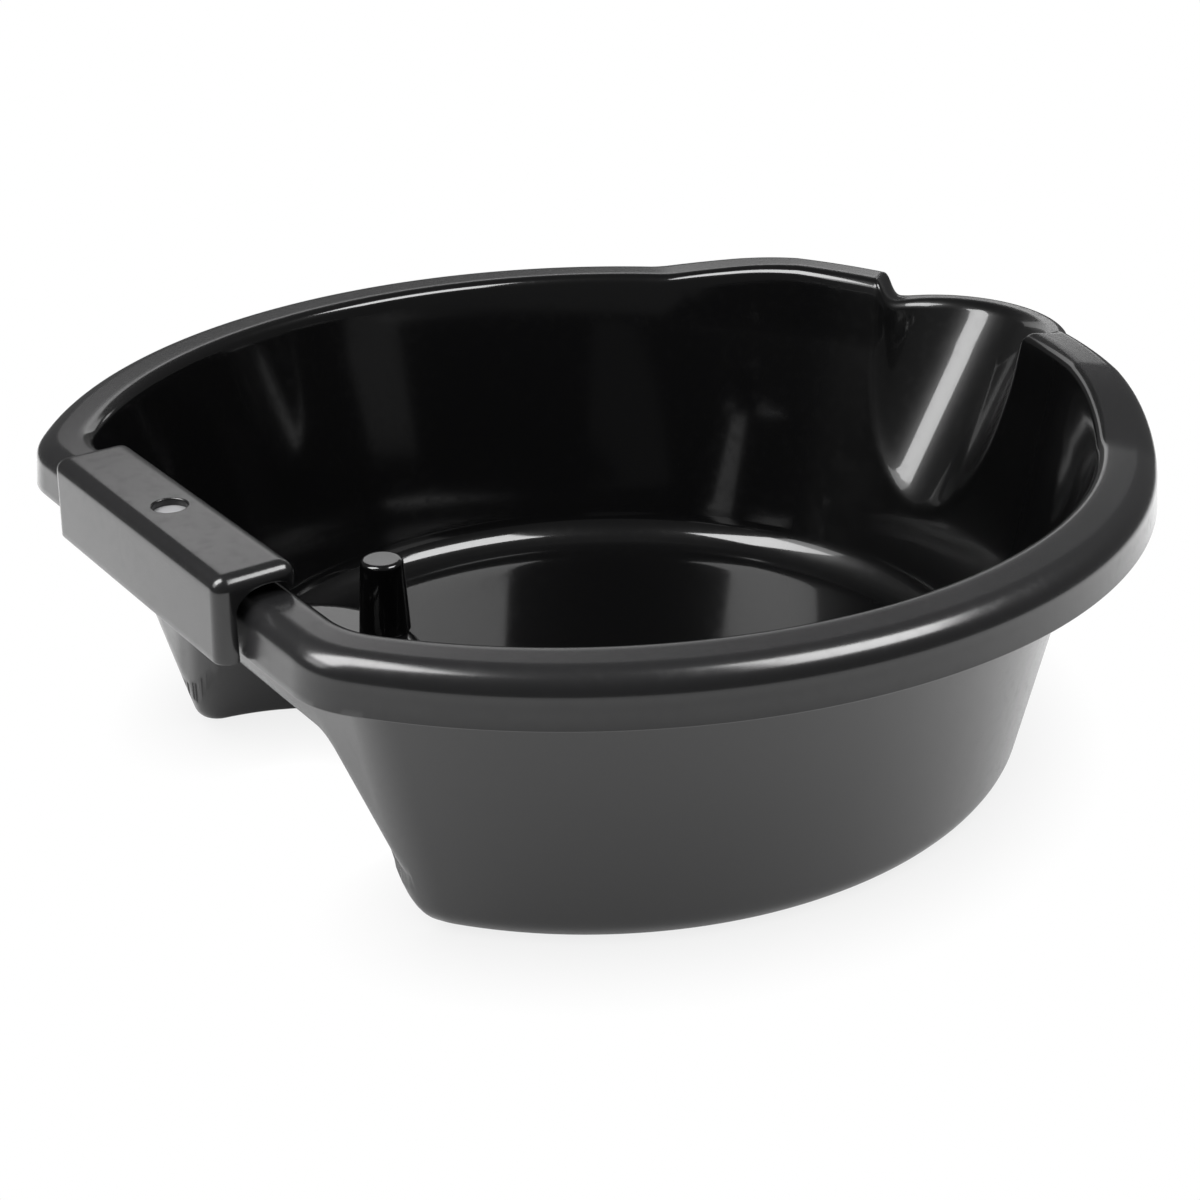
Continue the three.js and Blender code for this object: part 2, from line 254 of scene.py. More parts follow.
def wall_points(z, inner, out=0.0):
    """One ring of the basin's wall at height z: its inner or its outer face, moved out by out."""
    oval = basin_oval(z, WALL if inner else 0.0, FLOOR_ROUND if inner else FOOT_ROUND)
    oval = oval + OUTWARD * (out - (WALL if inner else 0))
    radius = SPOUT_RADIUS + out + (0 if inner else WALL)
    x, y, _ = outline(oval, SPOUT_RADIUS + SPOUT_MARGIN[1])
    gutter_centre = mix(SPOUT_TIP_X - SPOUT_RADIUS, SPOUT_CENTRE, spout_rise(z))
    x = widen(x, y, gutter_centre, radius, mix(*SPOUT_BLEND, np.clip(spout_rise(z), 0, 1)))
    return np.stack([x, y, np.full_like(x, z)], axis=1)


def ear_lift():
    """How far the rim's top is raised at each station by the ears."""
    angle = outline(RIM, SPOUT_RADIUS + LIP_WIDTH)[2]
    ramp_share = smooth_max((EAR_START - angle) / (EAR_START - EAR_FULL), 0, EAR_KINK)
    return np.minimum(EAR_HEIGHT * smooth_min(ramp_share, 1 + EAR_CREST / 8, EAR_CREST), EAR_HEIGHT)


EAR_LIFT = ear_lift()


def lip_share(y, radius):
    """1 on the ears and the rest of the rim, 0 on the spout's lip."""
    climb = (np.abs(y) - radius - LIP_STEP[0]) / (LIP_STEP[1] - LIP_STEP[0])
    return np.clip(smooth_min(smooth_max(climb, 0, STEP_ROUND), 1, STEP_ROUND), 0, 1)


def rim_points(t, drop):
    """One ring of the rim: t is 0 at its outer and 1 at its inner edge, drop is measured from the top."""
    radius = SPOUT_RADIUS + LIP_WIDTH * (1 - t)
    x, y, _ = outline(mix(RIM, RIM_INSIDE, t), radius + mix(*SPOUT_MARGIN, t))
    x = widen(x, y, SPOUT_CENTRE, radius, LIP_BLEND)
    low = drop / SKIRT_DROP
    on_rim = RIM_TOP + EAR_LIFT * (1 - low) - drop
    on_lip = LIP_Z - low * LIP_SKIRT
    z = mix(on_lip, on_rim, lip_share(y, radius))
    return np.stack([x, y, z], axis=1)


def top_height(y, radius):
    """Height of the rim's top beside a gutter of this radius."""
    return mix(LIP_Z, RIM_TOP + EAR_LIFT, lip_share(y, radius))


def inner_edge_points(drop):
    """One ring of the rounded edge between the rim's flat top and the inner wall."""
    out = INNER_ROUND - math.sqrt(max(INNER_ROUND**2 - max(INNER_ROUND - drop, 0) ** 2, 0))
    ring = wall_points(RIM_TOP - drop, True, out)
    ring[:, 2] = top_height(ring[:, 1], SPOUT_RADIUS + out) - drop
    return ring


def under_rim_rings(steps=3):
    """The rim's hollow underside, from the basin's wall out to the inside of the skirt."""
    corners = np.array(RIM_UNDERSIDE)
    rings = []
    for first, second in zip(corners[:-1], corners[1:]):
        for i in range(steps):
            rings.append(rim_points(*mix(first, second, i / steps)))
    return rings


def rim_rings():
    """The rim's skirt edge, skirt, rounded outer edge, flat top and rounded inner edge."""
    section = list(SKIRT_FOOT)
    for share in (1 / 4, 2 / 4, 3 / 4):
        section.append((SKIRT_LEAN * share, mix(SKIRT_DROP, EDGE_ROUND, share)))
    for turn in arc_angles(*EDGE_ARC, 15):
        section.append((SKIRT_LEAN + EDGE_SHARE * (1 - math.cos(turn)), EDGE_ROUND * (1 - math.sin(turn))))
    rings = [rim_points(t, drop) for t, drop in section]
    crease = rim_points(SKIRT_LEAN + EDGE_SHARE, 0)
    edge = inner_edge_points(0)
    rings += [mix(crease, edge, share) for share in FLAT_SHARES]
    rings += [inner_edge_points(INNER_ROUND * (1 - math.sin(turn))) for turn in arc_angles(90, 0, 9)]
    return rings


def floor_rings(edge, centre):
    """Rings of a flat floor from its middle out to its edge."""
    return [mix(centre, edge, i / FLOOR_STEPS) for i in range(1, FLOOR_STEPS)]


def foot_heights(floor, foot, count):
    return [floor + foot * (1 - math.sin(turn)) for turn in arc_angles(*FOOT_ARC, count)]


def wall_heights(low, high):
    count = math.ceil((high - low) / WALL_STEP)
    return [mix(low, high, i / count) for i in range(1, count + 1)]


def recess_height(x, y, grow):
    """Height up to which the block of the hand recess, grown by grow, fills the place x, y."""

    def gap(z):
        share = z / RECESS_ROOF
        radius = mix(RECESS_FOOT[0], RECESS_TOP[0], share) + grow
        centre = mix(RECESS_FOOT[1], RECESS_TOP[1], share)
        mouth = -mix(BASIN_FOOT[3], BASIN_TOP[3], z / BASIN_TOP_Z)
        bend = RECESS_FLARE - grow
        reach = bend * FLARE_REACH
        into = np.clip(mouth + reach - x, 0, reach)
        flare = bend - np.sqrt(bend * bend - into * into)
        return np.where(x > centre, np.hypot(x - centre, y) - radius, np.abs(y) - radius - flare)

    low, high = SEARCH_Z
    return find_root(gap, np.full_like(x, low), np.full_like(x, high))


def raise_over_recess(ring, grow, top, blend):
    """Lifts a ring's points onto the block of the hand recess where it stands higher."""
    x, y, z = ring.T
    block = smooth_min(recess_height(x, y, grow), top, PLATFORM_BLEND)
    return np.stack([x, y, smooth_max(z, block, blend)], axis=1)


def outer_rings():
    """Underside, rounded foot and outer wall, with the hand recess pressed up into them."""
    rings = floor_rings(wall_points(0.0, False), np.zeros(3))
    rings = [raise_over_recess(ring, 0.0, RECESS_ROOF, MOUTH_BLEND[0]) for ring in rings]
    heights = foot_heights(0.0, FOOT_ROUND, 10)
    heights += wall_heights(FOOT_ROUND * STRAIGHT_START, RECESS_CLEAR_Z)
    for z in heights:
        blend = mix(*MOUTH_BLEND, min(z / FOOT_ROUND, 1))
        rings.append(raise_over_recess(wall_points(z, False), 0.0, RECESS_ROOF, blend))
    return rings + [wall_points(z, False) for z in UPPER_WALL_Z]


def inner_rings():
    """Inner wall, fillet and floor, with the platform and its side standing up from them."""
    top = RIM_TOP - INNER_ROUND
    rings = []
    for share in (0.8, 0.6, 0.4, 0.2, 0):
        ring = wall_points(mix(LEVEL_Z, top, share), True)
        ring[:, 2] = mix(LEVEL_Z, top_height(ring[:, 1], SPOUT_RADIUS) - INNER_ROUND, share)
        rings.append(ring)
    heights = wall_heights(WALL + FLOOR_ROUND * STRAIGHT_START, LEVEL_Z)[:-1][::-1]
    heights += foot_heights(WALL, FLOOR_ROUND, 13)[::-1]
    low = [wall_points(z, True) for z in heights]
    low += floor_rings(low[-1], np.array([FLOOR_MIDDLE_X, 0.0, WALL]))[::-1]
    return rings + [raise_over_recess(ring, WALL, PLATFORM_Z, COVE_BLEND) for ring in low]


# ---- meshes ---------------------------------------------------------------------------


def ring_faces(rings, count):
    """Quads between neighbouring rings of count points, as indices from 0."""
    first = np.arange(count)
    second = (first + 1) % count
    faces = []
    for r in range(rings - 1):
        low, high = r * count, (r + 1) * count
        faces += np.stack([low + first, low + second, high + second, high + first], axis=1).tolist()
    return faces


def closed_faces(rings, count):
    """Faces of rings with a fan over each end; the fans' two middle points come after the rings' points."""
    faces = ring_faces(rings, count)
    last = (rings - 1) * count
    start, end = rings * count, rings * count + 1
    for i in range(count):
        j = (i + 1) % count
        faces.append([start, j, i])
        faces.append([end, last + i, last + j])
    return faces


def new_piece(name, points, faces, sharp=35):
    """A smooth mesh object from points in millimetres, sharp where faces meet at over sharp degrees."""
    mesh = bpy.data.meshes.new(name)
    mesh.from_pydata((np.asarray(points) * MM).tolist(), [], faces)
    mesh.validate()
    mesh.shade_smooth()
    mesh.set_sharp_from_angle(angle=math.radians(sharp))
    piece = bpy.data.objects.new(name, mesh)
    bpy.context.scene.collection.objects.link(piece)
    return piece


def soften(mesh, limit):
    """Shades a mesh smoothly across all edges between its first limit points."""
    ends = np.empty(2 * len(mesh.edges), dtype=np.int32)
    mesh.edges.foreach_get("vertices", ends)
    early = ends.reshape(-1, 2).max(axis=1) < limit
    sharp = np.empty(len(mesh.edges), dtype=bool)
    marks = mesh.attributes["sharp_edge"].data
    marks.foreach_get("value", sharp)
    sharp[early] = False
    marks.foreach_set("value", sharp)


def mark_finish(mesh, points, count, inside):
    """Stores how satin and how hazy each point of the pan is: satin, but glossy on the last, inside rings.

    The inner walls have a touch of satin, except in the gutter, which is hazy.
    """
    # The satin value also mixes a lighter black into the pan's colour. This is painted light: fully on the
    # rim and outside, a little on the inner walls, none on the floor and the rim's inner edge.
    satin = np.ones(len(points), dtype=np.float32)
    haze = np.zeros(len(points), dtype=np.float32)
    first = -inside * count - 2
    satin[first:] = 0
    wall = slice(first, -FLOOR_STEPS * count)
    at_spout = points[wall, 0] > 0
    beside_gutter = smooth_step(SPOUT_RADIUS, 2 * SPOUT_RADIUS, np.abs(points[wall, 1]))
    satin[wall] = WALL_SATIN * np.where(at_spout, beside_gutter, 1)
    haze[wall] = np.where(at_spout, 1 - beside_gutter, 0)
    for name, values in (("satin", satin), ("haze", haze)):
        mesh.attributes.new(name, "FLOAT", "POINT").data.foreach_set("value", values)


def pan_body():
    """The pan's closed skin, from the middle of its underside over the rim to the middle of its floor."""
    outside, inside = outer_rings(), inner_rings()
    rings = outside + under_rim_rings() + rim_rings() + inside
    count = len(PART)
    points = np.concatenate([*rings, [[0, 0, 0], [FLOOR_MIDDLE_X, 0, WALL]]])
    shell = new_piece("pan_shell", points, closed_faces(len(rings), count))
    mark_finish(shell.data, points, count, RIM_INSIDE_RINGS + len(inside))
    soften(shell.data, len(outside) * count)
    return shell


# ---- turned pieces ----------------------------------------------------------------------

POST_X = (POST_LOW[0] + POST_HIGH[0]) / 2
POST_FOOT_RADIUS = (POST_HIGH[0] - POST_LOW[0]) / 2
POST_TOP_RADIUS = 7.4
POST_EDGE, POST_FOOT_EDGE = 1.7, 0.35
POST_BORE_RADIUS, POST_BORE_DEPTH = 3.75, 8.15
POST_DISH = 0.06
POST_DISH_REACH = 0.4
STUD_RADIUS, STUD_HEIGHT, STUD_EDGE, STUD_ROOT = 3.6, 8.0, 0.4, 1.0
DISC_X = (DISC_LOW[0] + DISC_HIGH[0]) / 2
DISC_EDGE = 0.5


def turned(name, profile, x, z, segments=112):
    """A closed turned piece about an upright axis at x; the profile starts and ends on the axis."""
    turns = np.arange(segments) * 2 * math.pi / segments
    rings = []
    for r, h in profile[1:-1]:
        rings.append(np.stack([x + r * np.cos(turns), r * np.sin(turns), np.full(segments, z + h)], axis=1))
    ends = [[x, 0, z + profile[0][1]], [x, 0, z + profile[-1][1]]]
    return new_piece(name, np.concatenate([*rings, ends]), closed_faces(len(rings), segments))


def round_corner(r, h, radius, start, end, count):
    """Points of an arc about (r, h) in a turned profile, from start to end degrees."""
    turns = arc_angles(start, end, count)
    return [(r + radius * math.cos(turn), h + radius * math.sin(turn)) for turn in turns]


def drip_post(side_steps=6):
    """A tapered peg with a rounded, slightly dished top and a bore for the stud in its foot."""
    height = POST_HIGH[2] - POST_LOW[2]
    foot, top = POST_FOOT_RADIUS, POST_TOP_RADIUS
    bore, depth = POST_BORE_RADIUS, POST_BORE_DEPTH
    profile = [(0, depth), (bore, depth), (bore, 0)]
    profile += round_corner(foot - POST_FOOT_EDGE, POST_FOOT_EDGE, POST_FOOT_EDGE, -90, 0, 4)
    for i in range(1, side_steps):
        profile.append((mix(foot, top, i / side_steps), mix(0, height - POST_EDGE, i / side_steps)))
    profile += round_corner(top - POST_EDGE, height - POST_EDGE, POST_EDGE, 3, 84, 10)
    profile.append((top - POST_EDGE - 0.8, height - POST_DISH / 3))
    profile += [(top * POST_DISH_REACH, height - POST_DISH), (0, height - POST_DISH)]
    return turned("drip_peg", profile, POST_X, POST_LOW[2])


def post_stud():
    """The moulded stud that holds the drip post, rooted in the platform."""
    profile = [(0, -STUD_ROOT), (STUD_RADIUS, -STUD_ROOT), (STUD_RADIUS, STUD_HEIGHT - 1.5 * STUD_EDGE)]
    profile += round_corner(STUD_RADIUS - STUD_EDGE, STUD_HEIGHT - STUD_EDGE, STUD_EDGE, 0, 90, 4)
    return turned("post_stud", profile + [(0, STUD_HEIGHT)], POST_X, POST_LOW[2], 64)


def plug_magnet():
    """A flat disc with rounded edges."""
    radius = (DISC_HIGH[0] - DISC_LOW[0]) / 2
    height = DISC_HIGH[2] - DISC_LOW[2]
    profile = [(0, 0)] + round_corner(radius - DISC_EDGE, DISC_EDGE, DISC_EDGE, -90, 0, 4)
    profile += round_corner(radius - DISC_EDGE, height - DISC_EDGE, DISC_EDGE, 0, 90, 5) + [(0, height)]
    return turned("magnet_disc", profile, DISC_X, DISC_LOW[2])


# ---- grip cover ---------------------------------------------------------------------------

COVER_HALF = 59.25
COVER_ROUND = 4.5
COVER_INNER_ROUND = 2.0
COVER_WALL = 2.4
COVER_LEAN = 1.0
COVER_HOOK_Z = RIM_TOP + 0.6
COVER_BEVEL = 0.7
COVER_SHARP = 30
ARCH_BEVEL = 0.5
ARCH_LEFT_X, ARCH_RIGHT_X = -171.9, -154.2
ARCH_SPRING_Z = RIM_TOP - 4.0
ARCH_TOP_Z = RIM_TOP + 3.7
ARCH_CROWN_X = DISC_X + 2.0
HOLE_RADIUS = 5.5
HOLE_EDGE = 0.6
HOLE_DEPTH, HOLE_HEADROOM = 5, 2

# Points of the outlines, and sections along Y: depths of those in the end walls, and those in the middle.
LEG_POINTS, ARC_POINTS, ROOF_POINTS, HOOK_POINTS, EDGE_POINTS = 12, 9, 14, 3, 4
END_DEPTHS = (0, 0.15, 0.5, 1.0, 1.4, 1.8, 2.1, COVER_WALL)
END_ARC = (86, 0)
END_MARGIN = 0.5
HOLLOW_MARGIN = 0.001
MIDDLE_MARGIN, MIDDLE_SECTIONS = 12, 8  # an even number keeps them clear of the hole


def line(start, end, count):
    """Count points from start, up to but not including end."""
    return [mix(np.array(start), np.array(end), i / count) for i in range(count)]


def sleeve_curve(inset, radius, bevel):
    """Outline of the sleeve in X and Z, moved in by inset: up the outer leg, over, and down to the hook.

    A positive bevel rounds the lower ends towards +X on the left and -X on the right, a negative one the
    other way.
    """
    left, right, top = COVER_LOW[0] + inset, COVER_HIGH[0] - inset, COVER_HIGH[2] - inset
    low, hook, size = COVER_LOW[2], COVER_HOOK_Z, abs(bevel)
    points = []
    for turn in arc_angles(0, 90, EDGE_POINTS):
        points.append((left + bevel * (1 - math.sin(turn)), low + size * (1 - math.cos(turn))))
    corner = (left + COVER_LEAN + radius, top - radius)
    points += line((left, low + size), (left + COVER_LEAN, corner[1]), LEG_POINTS + 1)[1:]
    for turn in arc_angles(180, 90, ARC_POINTS):
        points.append((corner[0] + radius * math.cos(turn), corner[1] + radius * math.sin(turn)))
    points += line((corner[0], top), (right - radius, top), ROOF_POINTS + 1)[1:]
    for turn in arc_angles(90, 0, ARC_POINTS):
        points.append((right - radius + radius * math.cos(turn), corner[1] + radius * math.sin(turn)))
    points += line((right, corner[1]), (right, hook + size), HOOK_POINTS + 1)[1:]
    for turn in arc_angles(90, 0, EDGE_POINTS):
        points.append((right - bevel * (1 - math.sin(turn)), hook + size * (1 - math.cos(turn))))
    return np.array(points)


def arch_curve(grow):
    """Outline of the opening in the sleeve's end walls, with as many points as sleeve_curve."""
    low, hook, spring, crown = COVER_LOW[2], COVER_HOOK_Z, ARCH_SPRING_Z, ARCH_CROWN_X
    left, right, top = ARCH_LEFT_X - grow, ARCH_RIGHT_X + grow, ARCH_TOP_Z + grow
    bevel = COVER_BEVEL
    points = []
    for turn in arc_angles(0, 90, EDGE_POINTS):
        points.append((left - bevel * (1 - math.sin(turn)), low + bevel * (1 - math.cos(turn))))
    points += line((left, low + bevel), (left, spring), LEG_POINTS)[1:]
    rise = ARC_POINTS + ROOF_POINTS // 2 + 1
    for turn in arc_angles(180, 90, rise)[:-1]:
        points.append((crown + (crown - left) * math.cos(turn), spring + (top - spring) * math.sin(turn)))
    total = 2 * EDGE_POINTS + LEG_POINTS + 2 * ARC_POINTS + ROOF_POINTS + HOOK_POINTS
    fall = total - len(points) - EDGE_POINTS + 1
    for turn in arc_angles(90, 0, fall)[:-1]:
        x = crown + (right - crown) * math.cos(turn)
        points.append((x, hook + bevel + (top - hook - bevel) * math.sin(turn)))
    for turn in arc_angles(90, 0, EDGE_POINTS):
        points.append((right + bevel * (1 - math.sin(turn)), hook + bevel * (1 - math.cos(turn))))
    return np.array(points)


def cover_sections():
    """Pairs of outer and inner outlines along Y, each with its own Y."""
    full = sleeve_curve(0, COVER_ROUND, COVER_BEVEL)
    hollow = sleeve_curve(COVER_WALL, COVER_INNER_ROUND, -COVER_BEVEL)
    sections = []
    for turn, depth in zip(arc_angles(*END_ARC, len(END_DEPTHS)), END_DEPTHS):
        inset = COVER_ROUND * (1 - math.cos(turn))
        grow = ARCH_BEVEL - math.sqrt(ARCH_BEVEL**2 - max(ARCH_BEVEL - depth, 0) ** 2)
        outer = sleeve_curve(inset, COVER_ROUND - inset, COVER_BEVEL)
        place = COVER_HALF - COVER_ROUND * (1 - math.sin(turn))
        sections.append((outer, place, arch_curve(grow), COVER_HALF - depth))
    inside_y = COVER_HALF - COVER_WALL - HOLLOW_MARGIN
    sections.append((full, COVER_HALF - COVER_ROUND - END_MARGIN, hollow, inside_y))
    far = [(outer, -outer_y, inner, -inner_y) for outer, outer_y, inner, inner_y in sections]
    reach = COVER_HALF - MIDDLE_MARGIN
    middle = [(full, y, hollow, y) for y in np.linspace(-reach, reach, MIDDLE_SECTIONS)]
    return far + middle + sections[::-1]


def cover_sleeve():
    """The sleeve's closed skin: its outer and inner outline at each section make one ring."""
    rings = []
    for outer, outer_y, inner, inner_y in cover_sections():
        out = np.insert(outer, 1, outer_y, axis=1)
        back = np.insert(inner, 1, inner_y, axis=1)[::-1]
        rings.append(np.concatenate([out, back]))
    count = len(rings[0])
    faces = ring_faces(len(rings), count)
    last = (len(rings) - 1) * count
    for i in range(count // 2 - 1):
        facing = count - 1 - i
        faces.append([i + 1, facing - 1, facing, i])
        faces.append([last + i, last + facing, last + facing - 1, last + i + 1])
    return new_piece("grip_sleeve", np.concatenate(rings), faces, COVER_SHARP)


def hole_cutter():
    """A turned cutter for the hole in the sleeve's top, flared so that the hole's edge is rounded."""
    top = COVER_HIGH[2]
    profile = [(0, top - HOLE_DEPTH), (HOLE_RADIUS, top - HOLE_DEPTH)]
    for turn in arc_angles(0, 80, 6):
        r = HOLE_RADIUS + HOLE_EDGE - HOLE_EDGE * math.cos(turn)
        profile.append((r, top - HOLE_EDGE + HOLE_EDGE * math.sin(turn)))
    profile += [(HOLE_RADIUS + HOLE_EDGE, top + HOLE_HEADROOM), (0, top + HOLE_HEADROOM)]
    return turned("hole_cutter", profile, DISC_X, 0.0, 72)


def cut(piece, cutter):
    """Cuts cutter out of piece and deletes it."""
    tool = piece.modifiers.new("cut", "BOOLEAN")
    tool.operation = "DIFFERENCE"
    tool.solver = "EXACT"
    tool.object = cutter
    bpy.context.view_layer.update()
    graph = bpy.context.evaluated_depsgraph_get()
    mesh = bpy.data.meshes.new_from_object(piece.evaluated_get(graph))
    piece.modifiers.clear()
    piece.data = mesh
    bpy.data.objects.remove(cutter)
    mesh.set_sharp_from_angle(angle=math.radians(COVER_SHARP))


def fix_normals(piece):
    """Turns all faces outward."""
    work = bmesh.new()
    work.from_mesh(piece.data)
    bmesh.ops.recalc_face_normals(work, faces=work.faces)
    work.to_mesh(piece.data)
    work.free()


# ---- materials ------------------------------------------------------------------------------

# Noises in the plastic: features per metre, and levels of detail.
WANDER = (22, 3)
SCUFFS = (260, 6)
GRAIN = (1400, 2)
WANDER_RANGE = (0.8, 1.2)
SCUFF_AMOUNT = 0.1
GRAIN_DEPTH = 0.00005  # metres

# The broad highlight under the sharp one: its extra roughness, and its share where haze is 0 and 1.
HAZE_SPREAD = 0.25
HAZE = (0.1, 0.5)
PLASTIC_IOR = 1.5

# The pan's black, and a lighter black painted where the satin value is 1. The lighter black is painted light
# that lifts the tone of the rim and outside, while the inside keeps the darker black.
PAN_BLACK, PAINTED_LIGHT_BLACK = (0.0012, 0.0012, 0.0013), (0.008, 0.008, 0.0084)
COVER_BLACK = (0.006, 0.006, 0.0063)
DISC_GREY = (0.2, 0.2, 0.205)


def plug(owner, value, socket):
    """Sets a socket to a plain number, or links it to another node's output."""
    if isinstance(value, (int, float)):
        socket.default_value = value
    else:
        owner.node_tree.links.new(value, socket)


def ramp(owner, value, low, high, span=(0, 1), kind="LINEAR"):
    """Turns a value that runs over span into one from low to high."""
    spread = owner.node_tree.nodes.new("ShaderNodeMapRange")
    spread.interpolation_type = kind
    spread.inputs["From Min"].default_value, spread.inputs["From Max"].default_value = span
    spread.inputs["To Min"].default_value = low
    spread.inputs["To Max"].default_value = high
    plug(owner, value, spread.inputs["Value"])
    return spread.outputs["Result"]


def combine(owner, operation, first, second):
    """The sum, product or the like of two values."""
    node = owner.node_tree.nodes.new("ShaderNodeMath")
    node.operation = operation
    plug(owner, first, node.inputs[0])
    plug(owner, second, node.inputs[1])
    return node.outputs["Value"]


def noise(material, place, scale, detail):
    """A noise texture's height, at scale features per metre of the object."""
    texture = material.node_tree.nodes.new("ShaderNodeTexNoise")
    texture.inputs["Scale"].default_value = scale
    texture.inputs["Detail"].default_value = detail
    plug(material, place, texture.inputs["Vector"])
    return texture.outputs["Fac"]


def stored(material, name):
    """A value that the mesh stores at its points, or 0 where it stores none."""
    attribute = material.node_tree.nodes.new("ShaderNodeAttribute")
    attribute.attribute_name = name
    return attribute.outputs["Fac"]


def tint(material, share, colour, painted_light_colour):
    """Runs from one colour to the other as share goes from 0 to 1."""
    blend = material.node_tree.nodes.new("ShaderNodeMix")
    blend.data_type = "RGBA"
    blend.inputs["A"].default_value = (*colour, 1)
    blend.inputs["B"].default_value = (*painted_light_colour, 1)
    plug(material, share, blend.inputs["Factor"])
    return blend.outputs["Result"]


def worn_roughness(material, place, base):
    """A base roughness that wanders slowly over the surface, with fine scuffs on top."""
    wander = ramp(material, noise(material, place, *WANDER), *WANDER_RANGE)
    scuffs = ramp(material, noise(material, place, *SCUFFS), -SCUFF_AMOUNT, SCUFF_AMOUNT)
    worn = combine(material, "MAXIMUM", scuffs, 0.0)
    return combine(material, "ADD", combine(material, "MULTIPLY", base, wander), worn)


def rippled(material, place, strength):
    """The surface's direction, rippled by a fine grain."""
    bump = material.node_tree.nodes.new("ShaderNodeBump")
    bump.inputs["Strength"].default_value = strength
    bump.inputs["Distance"].default_value = GRAIN_DEPTH
    plug(material, noise(material, place, *GRAIN), bump.inputs["Height"])
    return bump.outputs["Normal"]


def plastic(name, colour, painted_light_colour, glossy, satin, grain):
    """Moulded plastic: glossy where the mesh's satin value is 0, satin where it is 1.

    A sharp coat and a broader highlight under it share the reflection, by the mesh's haze value.
    """
    material = bpy.data.materials.new(name)
    material.use_nodes = True
    sockets = material.node_tree.nodes["Principled BSDF"].inputs
    sockets["IOR"].default_value = PLASTIC_IOR
    place = material.node_tree.nodes.new("ShaderNodeTexCoord").outputs["Object"]
    share = stored(material, "satin")
    # Where the satin value is 1 the colour runs to the second, lighter colour; on the pan this is painted
    # light on the rim and outside.
    plug(material, tint(material, share, colour, painted_light_colour), sockets["Base Color"])
    rough = worn_roughness(material, place, ramp(material, share, glossy, satin))
    plug(material, rough, sockets["Coat Roughness"])
    plug(material, combine(material, "ADD", rough, HAZE_SPREAD), sockets["Roughness"])
    haze = stored(material, "haze")
    plug(material, ramp(material, haze, 1 - HAZE[0], 1 - HAZE[1]), sockets["Coat Weight"])
    plug(material, ramp(material, haze, HAZE[0] / 2, HAZE[1] / 2), sockets["Specular IOR Level"])
    plug(material, rippled(material, place, grain), sockets["Normal"])
    return material


def finish_piece(piece, node, material):
    """Gives a piece its material and ties it to the frame, where it stands for a CAD node if one is named."""
    piece.data.materials.clear()
    piece.data.materials.append(material)
    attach(piece, "root")
    if node:
        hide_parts(node)


# ---- build ------------------------------------------------------------------------------------

shell = pan_body()
sleeve = cover_sleeve()
cutter = hole_cutter()
peg = drip_post()
stud = post_stud()
disc = plug_magnet()
for made in (shell, sleeve, cutter, peg, stud, disc):
    fix_normals(made)
cut(sleeve, cutter)

# The pan's rim and outside get a lighter black, which is painted light.
black = plastic("pan_black", PAN_BLACK, PAINTED_LIGHT_BLACK, glossy=0.06, satin=0.2, grain=0.08)
cover_black = plastic("cover_black", COVER_BLACK, COVER_BLACK, glossy=0.2, satin=0.2, grain=0.2)
grey = plastic("disc_grey", DISC_GREY, DISC_GREY, glossy=0.35, satin=0.35, grain=0.3)
finish_piece(shell, "pan_body", black)
finish_piece(stud, None, black)
finish_piece(sleeve, "grip_cover", cover_black)
finish_piece(peg, "drip_post", black)
finish_piece(disc, "plug_magnet", grey)

# ---- stage, camera and light, in metres ----------------------------------------------------------

FLOOR_REACH = 8.0
FLOOR_GAP = 0.0002
FLOOR_WHITE = 1.0
TABLE_RADIUS = (0.55, 0.8)
TABLE_GLOW = 1.62
FAR_GLOW = 0.12
CONTACT_REACH, CONTACT_SAMPLES = 0.035, 8
SHADOW_REACH, SHADOW_SAMPLES = 0.12, 4
CONTACT_DARK = 0.8
STUDIO_GLOW = 0.14

CAMERA_AZIMUTH = math.radians(36.419)
CAMERA_ELEVATION = math.radians(26.199)
CAMERA_PLACE = (-0.38673, -0.52587, 0.36829)
CAMERA_LENS = 58.88
CAMERA_SENSOR = 36.0
CAMERA_CLIP = (0.01, 50)

LIT_POINT = Vector((0, 0, 0.1))
LEFT_BEND = (-0.62, 0.136, 0.49)
BACK_DISTANCE = 0.9
STRIP_TOP, STRIP_FOOT, CARD_FOOT = 0.60, 0.395, 0.28
CARD_ASIDE = 0.4


def seen_as(owner, camera_value, other_value):
    """One value for rays from the camera, another for reflections and light."""
    ray = owner.node_tree.nodes.new("ShaderNodeLightPath")
    pick = owner.node_tree.nodes.new("ShaderNodeMix")
    plug(owner, ray.outputs["Is Camera Ray"], pick.inputs["Factor"])
    plug(owner, other_value, pick.inputs["A"])
    plug(owner, camera_value, pick.inputs["B"])
    return pick.outputs["Result"]


def openness(material, reach, samples):
    """1 on open ground, less where something stands within reach."""
    node = material.node_tree.nodes.new("ShaderNodeAmbientOcclusion")
    node.samples = samples
    node.inputs["Distance"].default_value = reach
    return node.outputs["AO"]


def table_glow(material, position):
    """The floor's light: bright round the object, dim far from it and in its shade."""
    away = material.node_tree.nodes.new("ShaderNodeVectorMath")
    away.operation = "LENGTH"
    plug(material, position, away.inputs[0])
    glow = ramp(material, away.outputs["Value"], TABLE_GLOW, FAR_GLOW, TABLE_RADIUS, "SMOOTHSTEP")
    return combine(material, "MULTIPLY", glow, openness(material, SHADOW_REACH, SHADOW_SAMPLES))


